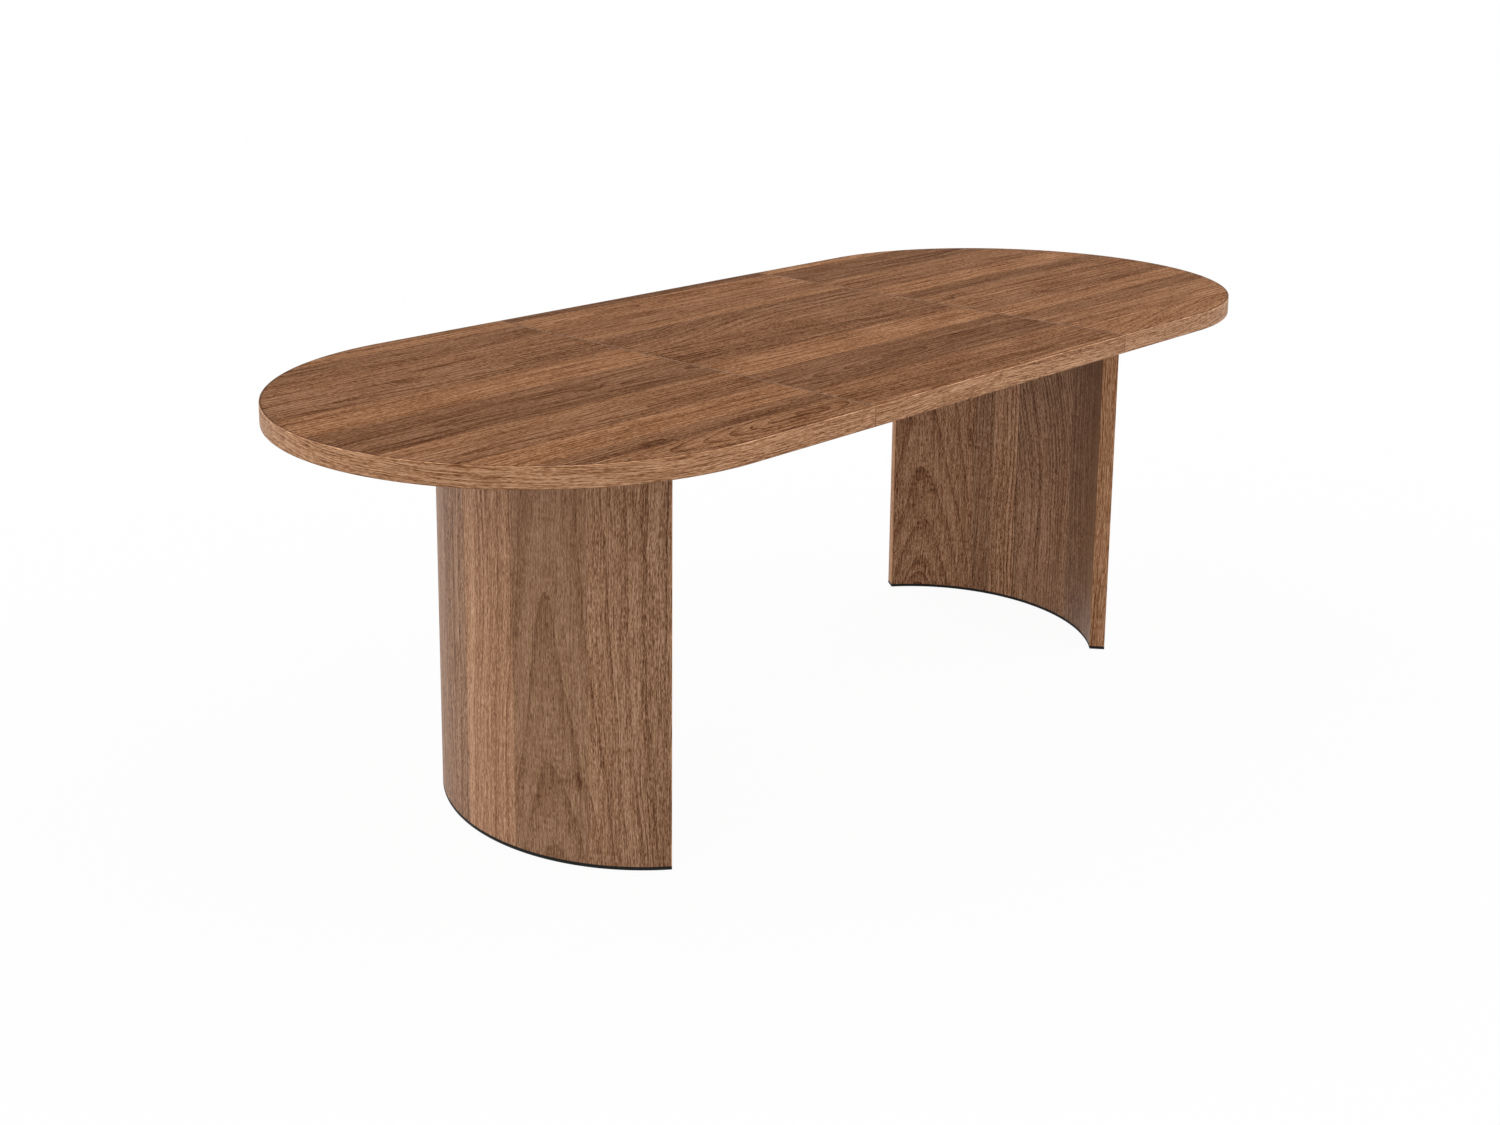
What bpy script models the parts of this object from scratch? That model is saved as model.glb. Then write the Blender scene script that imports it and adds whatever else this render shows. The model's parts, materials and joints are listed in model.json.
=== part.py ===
"""An extending dining table with a pill-shaped top in three sections.

Each half-round end top stands on a curved panel leg and slides on runners under the
top. The leaf between the two ends is loose and lifts off its pegs.
X runs along the table, Y across it from front to back, and Z is up from the floor.
"""

import math

import bmesh
import bpy
from mathutils import Matrix, Vector

# The top and its edge strips
TABLE_LENGTH = 2.25
TABLE_WIDTH = 0.93
TABLE_HEIGHT = 0.757
TOP_THICK = 0.035
LEAF_LENGTH = 0.75
SEAM_GAP = 0.0006
STRIP_THICK = 0.002
STRIP_ARRIS = 0.0012

# The legs: panels bent to an arc that is hollow towards the middle of the table
LEG_OVERHANG = 0.326
LEG_RADIUS = 0.365
LEG_WALL = 0.031
LEG_HALF_ANGLE = math.radians(52.6)
FOOT_THICK = 0.006
ANGLE_WIDTH = 0.035
ANGLE_THICK = 0.004
ANGLE_HALF_ANGLE = math.radians(30)

# The runners under the top
RUNNER_SPACING = 0.40
RAIL_TIP_GAP = 0.20
RAIL_LEG_GAP = 0.010
PULL_OUT = 0.05
CENTRE_RAIL_WIDTH = 0.040
CENTRE_RAIL_HEIGHT = 0.040
CENTRE_RAIL_WEB = 0.010
CENTRE_RAIL_WALL = 0.004
CENTRE_RAIL_LIP = 0.009
CENTRE_RAIL_LIP_WALL = 0.003
END_RAIL_WIDTH = 0.022
END_RAIL_HEIGHT = 0.036
END_RAIL_WALL = 0.0025
GLIDE_LENGTH = 0.13
GLIDE_CLEARANCE = 0.0005
RUN_GAP = 0.002
STOP_PLUG = 0.010
STOP_PLATE = 0.003
TIE_WIDTH = 0.08
TIE_THICK = 0.004

# The leaf's pegs and the fasteners
PEG_RADIUS = 0.004
PEG_CHAMFER = 0.001
PEG_DEPTH = 0.014
PEG_SETBACK = 0.03
BOLT = {"radius": 0.003, "length": 0.024, "head_radius": 0.006, "head_height": 0.004}
SCREW = {"radius": 0.002, "length": 0.021, "head_radius": 0.0042, "head_height": 0.003}
SCREW_MARGIN = 0.04
TOP_BOLT_ANGLES = [math.radians(a) for a in (-22, 0, 22)]
LEG_BOLT_ANGLES = [math.radians(a) for a in (-11, 11)]

# Clearances and fineness
FIT = 0.0003
WELD = 0.00001
OVERRUN = 0.001
SHARP = math.radians(40)
END_STEPS = 60
LEG_STEPS = 42
ANGLE_STEPS = 20
TURNED_STEPS = 12

# Places that follow from the sizes above
HALF_WIDTH = TABLE_WIDTH / 2
SEAM_X = LEAF_LENGTH / 2 + SEAM_GAP
END_CENTRE = TABLE_LENGTH / 2 - HALF_WIDTH
UNDERSIDE = TABLE_HEIGHT - TOP_THICK
SEAT = UNDERSIDE - FIT
STRIP_INSET = STRIP_THICK + FIT
LEG_CENTRE = TABLE_LENGTH / 2 - LEG_OVERHANG - LEG_RADIUS
LEG_INNER = LEG_RADIUS - LEG_WALL
ANGLE_OUTER = LEG_INNER - FIT
ANGLE_INNER = ANGLE_OUTER - ANGLE_WIDTH
ANGLE_FLANGE_MIDDLE = (ANGLE_WIDTH + ANGLE_THICK) / 2
RAIL_TIP = RAIL_TIP_GAP / 2
STOP_FACE = RAIL_TIP + GLIDE_LENGTH + PULL_OUT + FIT
CENTRE_RAIL_HALF = STOP_FACE + STOP_PLUG
RAIL_SIDE = CENTRE_RAIL_WIDTH / 2
RAIL_FLOOR = SEAT - CENTRE_RAIL_HEIGHT
SLOT_INNER = CENTRE_RAIL_WEB / 2
SLOT_OUTER = RAIL_SIDE - CENTRE_RAIL_LIP_WALL
END_RAIL_NEAR = RAIL_SIDE + RUN_GAP
END_RAIL_FAR = END_RAIL_NEAR + END_RAIL_WIDTH
RUNNER_REACH = RUNNER_SPACING / 2 + END_RAIL_FAR
END_RAIL_END = LEG_CENTRE + math.sqrt(ANGLE_INNER**2 - RUNNER_REACH**2) - RAIL_LEG_GAP

SIDES = {"left": -1, "right": 1}
ROWS = {"front": -1, "back": 1}

for old in list(bpy.data.objects):
    bpy.data.objects.remove(old)
PARTS = bpy.data.collections.new("dining_table")
CUTTERS = bpy.data.collections.new("dining_table_cutters")
bpy.context.scene.collection.children.link(PARTS)
bpy.context.scene.collection.children.link(CUTTERS)


def finish(name, colour, roughness, metallic):
    """A material with one colour and gloss all over."""
    material = bpy.data.materials.new(name)
    material.use_nodes = True
    shader = material.node_tree.nodes["Principled BSDF"]
    shader.inputs["Base Color"].default_value = (*colour, 1)
    shader.inputs["Roughness"].default_value = roughness
    shader.inputs["Metallic"].default_value = metallic
    return material


FINISHES = {
    "walnut_top": finish("walnut_top", (0.25, 0.135, 0.075), 0.45, 0),
    "walnut_strip": finish("walnut_strip", (0.32, 0.18, 0.11), 0.45, 0),
    "walnut_leg": finish("walnut_leg", (0.22, 0.12, 0.07), 0.45, 0),
    "black_foot": finish("black_foot", (0.01, 0.01, 0.01), 0.6, 0),
    "rail_aluminium": finish("rail_aluminium", (0.62, 0.62, 0.64), 0.35, 1),
    "black_steel": finish("black_steel", (0.02, 0.02, 0.022), 0.45, 1),
    "nylon": finish("nylon", (0.03, 0.03, 0.03), 0.5, 0),
    "zinc_steel": finish("zinc_steel", (0.6, 0.6, 0.58), 0.3, 1),
    "beech_peg": finish("beech_peg", (0.55, 0.38, 0.22), 0.6, 0),
}


def body_empty(name, place):
    """An empty that carries the pieces of one rigid body."""
    empty = bpy.data.objects.new(name, None)
    empty.location = place
    PARTS.objects.link(empty)
    return empty


BODIES = {
    "centre_frame": body_empty("centre_frame", (0, 0, SEAT)),
    "left_end": body_empty("left_end", (-SEAM_X, 0, SEAT)),
    "right_end": body_empty("right_end", (SEAM_X, 0, SEAT)),
    "leaf": body_empty("leaf", (0, 0, UNDERSIDE)),
}


def add(name, mesh, finish_name, body, place=(0, 0, 0), turn=(0, 0, 0)):
    """Puts a mesh in the model as one named piece of a body."""
    piece = bpy.data.objects.new(name, mesh)
    mesh.materials.clear()
    mesh.materials.append(FINISHES[finish_name])
    piece.location = place
    piece.rotation_euler = turn
    piece.parent = BODIES[body]
    piece.matrix_parent_inverse = Matrix.Translation(-BODIES[body].location)
    PARTS.objects.link(piece)
    return piece


def to_mesh(bm):
    """A new mesh from a bmesh: doubles welded, faces outwards, round stretches smooth."""
    bmesh.ops.remove_doubles(bm, verts=bm.verts, dist=WELD)
    bmesh.ops.recalc_face_normals(bm, faces=bm.faces)
    mesh = bpy.data.meshes.new("piece")
    bm.to_mesh(mesh)
    bm.free()
    mesh.shade_smooth()
    mesh.set_sharp_from_angle(angle=SHARP)
    return mesh


def box_mesh(low, high):
    """A box between two corners."""
    size = [b - a for a, b in zip(low, high)]
    middle = [(a + b) / 2 for a, b in zip(low, high)]
    bm = bmesh.new()
    bmesh.ops.create_cube(bm, size=1, matrix=Matrix.LocRotScale(middle, None, size))
    return to_mesh(bm)


def outline_mesh(outline, thickness):
    """A flat outline with a thickness, which is centred on Z = 0."""
    curve = bpy.data.curves.new("outline", "CURVE")
    curve.dimensions = "2D"
    curve.fill_mode = "BOTH"
    curve.extrude = thickness / 2
    spline = curve.splines.new("POLY")
    spline.points.add(len(outline) - 1)
    for point, (x, y) in zip(spline.points, outline):
        point.co = (x, y, 0, 1)
    spline.use_cyclic_u = True
    drawn = bpy.data.objects.new("outline", curve)
    PARTS.objects.link(drawn)
    evaluated = drawn.evaluated_get(bpy.context.evaluated_depsgraph_get())
    filled = bpy.data.meshes.new_from_object(evaluated)
    bpy.data.objects.remove(drawn)
    bm = bmesh.new()
    bm.from_mesh(filled)
    return to_mesh(bm)


def add_bar(name, outline, ends, finish_name, body):
    """A bar along X with a (y, z) outline, between two places on X."""
    low, high = sorted(ends)
    turn = (math.pi / 2, 0, math.pi / 2)
    place = ((low + high) / 2, 0, 0)
    return add(name, outline_mesh(outline, high - low), finish_name, body, place, turn)


def sector_mesh(profile, start, end, steps):
    """A closed (radius, height) profile swept round Z from one angle to another."""
    bm = bmesh.new()
    points = [(r * math.cos(start), r * math.sin(start), z) for r, z in profile]
    face = bm.faces.new([bm.verts.new(p) for p in points])
    bmesh.ops.spin(
        bm,
        geom=[face, *face.edges, *face.verts],
        cent=(0, 0, 0),
        axis=(0, 0, 1),
        angle=end - start,
        steps=steps,
    )
    return to_mesh(bm)


def rectangle(low, high):
    """The four corners between (x, y) low and high, in order."""
    return [low, (high[0], low[1]), high, (low[0], high[1])]


def add_turned(name, profile, finish_name, body, place, direction=(0, 0, 1)):
    """A (radius, height) profile, listed from its top down, turned about its direction."""
    mesh = bpy.data.meshes.new(name)
    edges = [(i, i + 1) for i in range(len(profile) - 1)]
    mesh.from_pydata([(r, 0, z) for r, z in profile], edges, [])
    turn = Vector(direction).to_track_quat("Z", "Y").to_euler()
    piece = add(name, mesh, finish_name, body, place, turn)
    screw = piece.modifiers.new("turn", "SCREW")
    screw.steps = TURNED_STEPS
    screw.render_steps = TURNED_STEPS
    screw.use_merge_vertices = True
    screw.merge_threshold = WELD
    return piece


def add_fastener(name, kind, finish_name, body, seat, direction):
    """A bolt or screw whose head lies under its seat and whose shank runs on through it."""
    profile = [
        (0, kind["length"]),
        (kind["radius"], kind["length"]),
        (kind["radius"], 0),
        (kind["head_radius"], 0),
        (kind["head_radius"], -kind["head_height"]),
        (0, -kind["head_height"]),
    ]
    return add_turned(name, profile, finish_name, body, seat, direction)


def as_cutter(cutter):
    """Keeps a shape out of the model: it only cuts or joins another piece."""
    cutter.hide_render = True
    cutter.display_type = "WIRE"
    CUTTERS.objects.link(cutter)
    return cutter


def boolean(piece, cutter, operation):
    """Cuts a piece with a cutter, or joins the two."""
    modifier = piece.modifiers.new(cutter.name, "BOOLEAN")
    modifier.object = cutter
    modifier.operation = operation
    modifier.solver = "EXACT"


def drill(piece, holes):
    """Drills round holes, each (start, direction, radius, depth), out of a piece."""
    bm = bmesh.new()
    for start, direction, radius, depth in holes:
        way = Vector(direction).normalized()
        middle = Vector(start) + way * (depth - OVERRUN) / 2
        matrix = Matrix.Translation(middle) @ way.to_track_quat("Z", "Y").to_matrix().to_4x4()
        bmesh.ops.create_cone(
            bm,
            cap_ends=True,
            segments=TURNED_STEPS,
            radius1=radius,
            radius2=radius,
            depth=depth + OVERRUN,
            matrix=matrix,
        )
    cutter = as_cutter(bpy.data.objects.new(f"{piece.name}_holes", to_mesh(bm)))
    boolean(piece, cutter, "DIFFERENCE")


def clearance_hole(kind, seat, direction):
    """The hole that a bolt or screw needs, from its seat to just past its tip."""
    return seat, direction, kind["radius"] + FIT, kind["length"] + FIT


def round_arrises(mesh, on_outer_face):
    """Rounds the level edges of a strip that lie on its outer face."""
    bm = bmesh.new()
    bm.from_mesh(mesh)
    edges = [
        edge
        for edge in bm.edges
        if all(on_outer_face(v.co) for v in edge.verts)
        and abs(edge.verts[0].co.z - edge.verts[1].co.z) < WELD
        and edge.calc_face_angle(0) > SHARP
    ]
    bmesh.ops.bevel(
        bm, geom=edges, offset=STRIP_ARRIS, segments=2, profile=0.5, affect="EDGES"
    )
    bmesh.ops.recalc_face_normals(bm, faces=bm.faces)
    bm.to_mesh(mesh)
    bm.free()
    return mesh


def end_outline(side, inset, seam_x):
    """Half a pill: straight at the seam and round at the outer end, drawn in by inset."""
    radius = HALF_WIDTH - inset
    bends = [math.pi * (i / END_STEPS - 0.5) for i in range(END_STEPS + 1)]
    rim = [(END_CENTRE + radius * math.cos(a), radius * math.sin(a)) for a in bends]
    return [(side * x, y) for x, y in [(seam_x, -radius), *rim, (seam_x, radius)]]


def add_end_top(name, side):
    """The end's panel, the strip bent round its rim and the strip on its seam."""
    body = f"{name}_end"
    middle = (0, 0, TABLE_HEIGHT - TOP_THICK / 2)
    panel = outline_mesh(end_outline(side, STRIP_INSET, SEAM_X + STRIP_INSET), TOP_THICK)
    panel = add(f"{name}_end_top", panel, "walnut_top", body, middle)

    outer = end_outline(side, 0, SEAM_X)
    inner = end_outline(side, STRIP_THICK, SEAM_X)
    strip = outline_mesh(outer + inner[::-1], TOP_THICK)
    inner_edge = HALF_WIDTH - STRIP_THICK / 2

    def on_rim(point):
        """True outside the middle of the strip's thickness."""
        beyond = max(abs(point.x) - END_CENTRE, 0)
        return math.hypot(beyond, point.y) > inner_edge

    add(f"{name}_end_strip", round_arrises(strip, on_rim), "walnut_strip", body, middle)

    reach = HALF_WIDTH - STRIP_INSET
    low_x, high_x = sorted((side * SEAM_X, side * (SEAM_X + STRIP_THICK)))
    seam = box_mesh((low_x, -reach, UNDERSIDE), (high_x, reach, TABLE_HEIGHT))
    add(f"{name}_seam_strip", seam, "walnut_strip", body)
    return panel


def add_leg(name, side):
    """The bent panel, the strips on its upright ends and the foot strip under it."""
    body = f"{name}_end"
    place = (side * LEG_CENTRE, 0, 0)
    ahead = 0 if side > 0 else math.pi
    strip_angle = STRIP_THICK / LEG_RADIUS
    panel_angle = LEG_HALF_ANGLE - STRIP_INSET / LEG_RADIUS
    wall = rectangle((LEG_INNER, FOOT_THICK + FIT), (LEG_RADIUS, SEAT))
    panel = sector_mesh(wall, ahead - panel_angle, ahead + panel_angle, LEG_STEPS)
    panel = add(f"{name}_leg_panel", panel, "walnut_leg", body, place)
    for row, sign in ROWS.items():
        outer_end = ahead + side * sign * LEG_HALF_ANGLE
        inner_end = outer_end - side * sign * strip_angle
        strip = sector_mesh(wall, *sorted((inner_end, outer_end)), 1)
        add(f"{name}_leg_{row}_strip", strip, "walnut_strip", body, place)
    sole = rectangle((LEG_INNER, 0), (LEG_RADIUS, FOOT_THICK))
    foot = sector_mesh(sole, ahead - LEG_HALF_ANGLE, ahead + LEG_HALF_ANGLE, LEG_STEPS)
    add(f"{name}_foot_strip", foot, "black_foot", body, place)
    return panel


def add_leg_angle(name, side, leg):
    """The rolled angle inside the leg's head, bolted up to the top and out to the leg."""
    body = f"{name}_end"
    place = Vector((side * LEG_CENTRE, 0, 0))
    ahead = 0 if side > 0 else math.pi
    flank = ANGLE_OUTER - ANGLE_THICK
    ledge = SEAT - ANGLE_THICK
    profile = [
        (ANGLE_OUTER, SEAT),
        (ANGLE_OUTER, SEAT - ANGLE_WIDTH),
        (flank, SEAT - ANGLE_WIDTH),
        (flank, ledge),
        (ANGLE_INNER, ledge),
        (ANGLE_INNER, SEAT),
    ]
    start, end = ahead - ANGLE_HALF_ANGLE, ahead + ANGLE_HALF_ANGLE
    angle = sector_mesh(profile, start, end, ANGLE_STEPS)
    angle = add(f"{name}_leg_angle", angle, "black_steel", body, place)

    def outwards(bearing):
        """The level direction out from the leg's centre at a bearing."""
        return Vector((math.cos(ahead + bearing), math.sin(ahead + bearing), 0))

    up = Vector((0, 0, 1))
    top_holes = []
    for number, bearing in enumerate(TOP_BOLT_ANGLES, 1):
        seat = place + outwards(bearing) * (ANGLE_OUTER - ANGLE_FLANGE_MIDDLE)
        seat.z = ledge - FIT
        add_fastener(f"{name}_top_bolt_{number}", BOLT, "zinc_steel", body, seat, up)
        top_holes.append(clearance_hole(BOLT, seat, up))
    leg_holes = []
    for number, bearing in enumerate(LEG_BOLT_ANGLES, 1):
        way = outwards(bearing)
        seat = place + way * (flank - FIT)
        seat.z = SEAT - ANGLE_FLANGE_MIDDLE
        add_fastener(f"{name}_leg_bolt_{number}", BOLT, "zinc_steel", body, seat, way)
        leg_holes.append(clearance_hole(BOLT, seat, way))
    drill(angle, top_holes + leg_holes)
    drill(leg, leg_holes)
    return top_holes


def centre_rail_outline(row):
    """An H section with lips, so that each side of the rail is a slot for a glide."""
    middle = row * RUNNER_SPACING / 2
    roof = CENTRE_RAIL_HEIGHT - CENTRE_RAIL_WALL
    lip_top = roof - CENTRE_RAIL_LIP
    lip_bottom = CENTRE_RAIL_WALL + CENTRE_RAIL_LIP
    half = [
        (RAIL_SIDE, CENTRE_RAIL_HEIGHT),
        (RAIL_SIDE, lip_top),
        (SLOT_OUTER, lip_top),
        (SLOT_OUTER, roof),
        (SLOT_INNER, roof),
        (SLOT_INNER, CENTRE_RAIL_WALL),
        (SLOT_OUTER, CENTRE_RAIL_WALL),
        (SLOT_OUTER, lip_bottom),
        (RAIL_SIDE, lip_bottom),
        (RAIL_SIDE, 0),
    ]
    other_half = [(-y, z) for y, z in half[::-1]]
    return [(middle + y, RAIL_FLOOR + z) for y, z in half + other_half]


def add_end_stop(name, row, side):
    """The end of a centre rail: a plate with a plug in each slot, where a glide stops."""
    middle = row * RUNNER_SPACING / 2
    inside, outside = CENTRE_RAIL_HALF + FIT, CENTRE_RAIL_HALF + FIT + STOP_PLATE

    def block(x_low, x_high, y_low, y_high, inset):
        """A block of the stop, mirrored to its end of the rail."""
        xs = sorted((side * x_low, side * x_high))
        low = (xs[0], middle + y_low, RAIL_FLOOR + inset)
        return box_mesh(low, (xs[1], middle + y_high, SEAT - inset))

    plate = block(inside, outside, -RAIL_SIDE, RAIL_SIDE, 0)
    stop = add(name, plate, "nylon", "centre_frame")
    plug_inset = CENTRE_RAIL_WALL + GLIDE_CLEARANCE
    near, far = SLOT_INNER + GLIDE_CLEARANCE, SLOT_OUTER - GLIDE_CLEARANCE
    for number, (low, high) in enumerate(((near, far), (-far, -near)), 1):
        plug = block(STOP_FACE, inside + STOP_PLATE / 2, low, high, plug_inset)
        cutter = as_cutter(bpy.data.objects.new(f"{name}_plug_{number}", plug))
        boolean(stop, cutter, "UNION")


def add_runner_centre(name, row):
    """The centre rail of one runner, with its end stops and the tie screw under it."""
    ends = (-CENTRE_RAIL_HALF, CENTRE_RAIL_HALF)
    outline = centre_rail_outline(row)
    rail = add_bar(f"{name}_centre_rail", outline, ends, "rail_aluminium", "centre_frame")
    for side_name, side in SIDES.items():
        add_end_stop(f"{name}_{side_name}_stop", row, side)
    up = (0, 0, 1)
    seat = Vector((0, row * RUNNER_SPACING / 2, RAIL_FLOOR - 2 * FIT - TIE_THICK))
    add_fastener(f"{name}_tie_screw", SCREW, "zinc_steel", "centre_frame", seat, up)
    peg_y = row * (RUNNER_SPACING / 2 + (SLOT_INNER + SLOT_OUTER) / 2)
    pegs = [Vector((side * (RAIL_TIP - PEG_SETBACK), peg_y, SEAT)) for side in (-1, 1)]
    peg_hole = (0, 0, -1), PEG_RADIUS + FIT, CENTRE_RAIL_WALL + OVERRUN
    tie_hole = clearance_hole(SCREW, seat, up)
    drill(rail, [tie_hole, *[(peg, *peg_hole) for peg in pegs]])
    return tie_hole, pegs


def add_end_rail(name, row_name, side, row):
    """An end's channel rail beside the centre rail, its glide and its two screws."""
    body = f"{name}_end"
    label = f"{name}_{row_name}"
    middle = row * RUNNER_SPACING / 2
    away = -side * row

    def across(distance):
        """A place on Y from its distance out of the centre rail's middle."""
        return middle + away * distance

    floor = SEAT - END_RAIL_HEIGHT
    back = END_RAIL_NEAR + END_RAIL_WALL
    channel = [
        (END_RAIL_NEAR, floor),
        (END_RAIL_FAR, floor),
        (END_RAIL_FAR, floor + END_RAIL_WALL),
        (back, floor + END_RAIL_WALL),
        (back, SEAT - END_RAIL_WALL),
        (END_RAIL_FAR, SEAT - END_RAIL_WALL),
        (END_RAIL_FAR, SEAT),
        (END_RAIL_NEAR, SEAT),
    ]
    channel = [(across(y), z) for y, z in channel]
    ends = (side * RAIL_TIP, side * END_RAIL_END)
    rail = add_bar(f"{label}_end_rail", channel, ends, "black_steel", body)

    head_low, head_high = SLOT_INNER + GLIDE_CLEARANCE, SLOT_OUTER - GLIDE_CLEARANCE
    neck_end = END_RAIL_NEAR - FIT
    head_half = CENTRE_RAIL_HEIGHT / 2 - CENTRE_RAIL_WALL - GLIDE_CLEARANCE
    neck_half = head_half - CENTRE_RAIL_LIP
    level = RAIL_FLOOR + CENTRE_RAIL_HEIGHT / 2
    half = [
        (head_low, head_half),
        (head_high, head_half),
        (head_high, neck_half),
        (neck_end, neck_half),
    ]
    outline = half + [(y, -z) for y, z in half[::-1]]
    outline = [(across(y), level + z) for y, z in outline]
    ends = (side * RAIL_TIP, side * (RAIL_TIP + GLIDE_LENGTH))
    add_bar(f"{label}_glide", outline, ends, "nylon", body)

    up = (0, 0, 1)
    holes = []
    flange_middle = across((back + END_RAIL_FAR) / 2)
    for number, x in enumerate((SEAM_X + SCREW_MARGIN, END_RAIL_END - SCREW_MARGIN), 1):
        seat = Vector((side * x, flange_middle, SEAT - END_RAIL_WALL - FIT))
        add_fastener(f"{label}_rail_screw_{number}", SCREW, "zinc_steel", body, seat, up)
        holes.append(clearance_hole(SCREW, seat, up))
    drill(rail, holes)
    return holes


def add_leaf(pegs):
    """The loose middle section: its panel, four edge strips and the pegs under it."""
    half_x, half_y = LEAF_LENGTH / 2, HALF_WIDTH
    in_x, in_y = half_x - STRIP_INSET, half_y - STRIP_INSET
    panel = box_mesh((-in_x, -in_y, UNDERSIDE), (in_x, in_y, TABLE_HEIGHT))
    panel = add("leaf_top", panel, "walnut_top", "leaf")
    for row_name, row in ROWS.items():
        y_low, y_high = sorted((row * half_y, row * (half_y - STRIP_THICK)))
        strip = box_mesh((-half_x, y_low, UNDERSIDE), (half_x, y_high, TABLE_HEIGHT))
        strip = round_arrises(strip, lambda point: abs(point.y) > half_y - WELD)
        add(f"leaf_{row_name}_strip", strip, "walnut_strip", "leaf")
    for name, side in SIDES.items():
        x_low, x_high = sorted((side * half_x, side * (half_x - STRIP_THICK)))
        strip = box_mesh((x_low, -in_y, UNDERSIDE), (x_high, in_y, TABLE_HEIGHT))
        add(f"leaf_{name}_strip", strip, "walnut_strip", "leaf")
    tip = PEG_RADIUS - PEG_CHAMFER
    profile = [
        (0, PEG_DEPTH),
        (PEG_RADIUS, PEG_DEPTH),
        (PEG_RADIUS, PEG_CHAMFER - PEG_DEPTH),
        (tip, -PEG_DEPTH),
        (0, -PEG_DEPTH),
    ]
    holes = []
    for number, peg in enumerate(pegs, 1):
        place = Vector((peg.x, peg.y, UNDERSIDE))
        add_turned(f"leaf_peg_{number}", profile, "beech_peg", "leaf", place)
        holes.append((place, (0, 0, 1), PEG_RADIUS + FIT, PEG_DEPTH + FIT))
    drill(panel, holes)


def add_cross_tie(holes):
    """The flat bar under the two centre rails, which keeps them parallel."""
    reach = RUNNER_SPACING / 2 + RAIL_SIDE
    roof = RAIL_FLOOR - FIT
    low = (-TIE_WIDTH / 2, -reach, roof - TIE_THICK)
    tie = add("cross_tie", box_mesh(low, (TIE_WIDTH / 2, reach, roof)), "black_steel", "centre_frame")
    drill(tie, holes)


for side_name, side_sign in SIDES.items():
    end_top = add_end_top(side_name, side_sign)
    leg_panel = add_leg(side_name, side_sign)
    underside_holes = add_leg_angle(side_name, side_sign, leg_panel)
    for row_name, row_sign in ROWS.items():
        underside_holes += add_end_rail(side_name, row_name, side_sign, row_sign)
    drill(end_top, underside_holes)

tie_holes = []
leaf_pegs = []
for row_name, row_sign in ROWS.items():
    row_tie_hole, row_pegs = add_runner_centre(row_name, row_sign)
    tie_holes.append(row_tie_hole)
    leaf_pegs += row_pegs
add_cross_tie(tie_holes)
add_leaf(leaf_pegs)
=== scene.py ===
import json
import math

import bmesh
import bpy
import numpy as np
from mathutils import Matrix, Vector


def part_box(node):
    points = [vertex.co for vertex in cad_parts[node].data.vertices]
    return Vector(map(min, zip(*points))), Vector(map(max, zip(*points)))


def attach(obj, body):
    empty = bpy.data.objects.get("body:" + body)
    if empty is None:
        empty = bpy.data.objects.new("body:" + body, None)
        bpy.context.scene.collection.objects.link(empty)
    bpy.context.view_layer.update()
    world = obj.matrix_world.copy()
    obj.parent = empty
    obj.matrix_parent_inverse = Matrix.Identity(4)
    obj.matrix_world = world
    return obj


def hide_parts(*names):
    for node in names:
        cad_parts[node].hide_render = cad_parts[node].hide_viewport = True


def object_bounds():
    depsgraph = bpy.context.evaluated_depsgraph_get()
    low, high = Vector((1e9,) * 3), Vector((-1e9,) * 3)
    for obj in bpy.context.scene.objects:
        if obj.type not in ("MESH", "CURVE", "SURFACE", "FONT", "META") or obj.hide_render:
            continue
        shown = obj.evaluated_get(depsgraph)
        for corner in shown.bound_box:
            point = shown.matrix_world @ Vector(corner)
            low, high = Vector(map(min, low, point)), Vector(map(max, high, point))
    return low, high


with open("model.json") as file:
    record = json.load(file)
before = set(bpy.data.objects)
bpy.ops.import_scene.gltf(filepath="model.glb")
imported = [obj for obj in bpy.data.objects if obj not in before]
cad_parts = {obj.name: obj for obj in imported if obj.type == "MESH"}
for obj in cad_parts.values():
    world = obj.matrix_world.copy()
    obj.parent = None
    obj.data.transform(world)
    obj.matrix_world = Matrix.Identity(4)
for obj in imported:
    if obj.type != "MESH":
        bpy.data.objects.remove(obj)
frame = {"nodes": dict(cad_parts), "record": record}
cad_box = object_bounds()

# The end tops are flat panels, straight at the seam and half round outside. Both faces are
# walnut boards laid side by side along the table, and each section of the top is cut from
# another place on one wide sheet of them. The rails and the leg are fixed under it.
SIDES = (("left", -1), ("right", 1))

# Each finish, by the name of its slot.
FINISHES = {}


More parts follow.
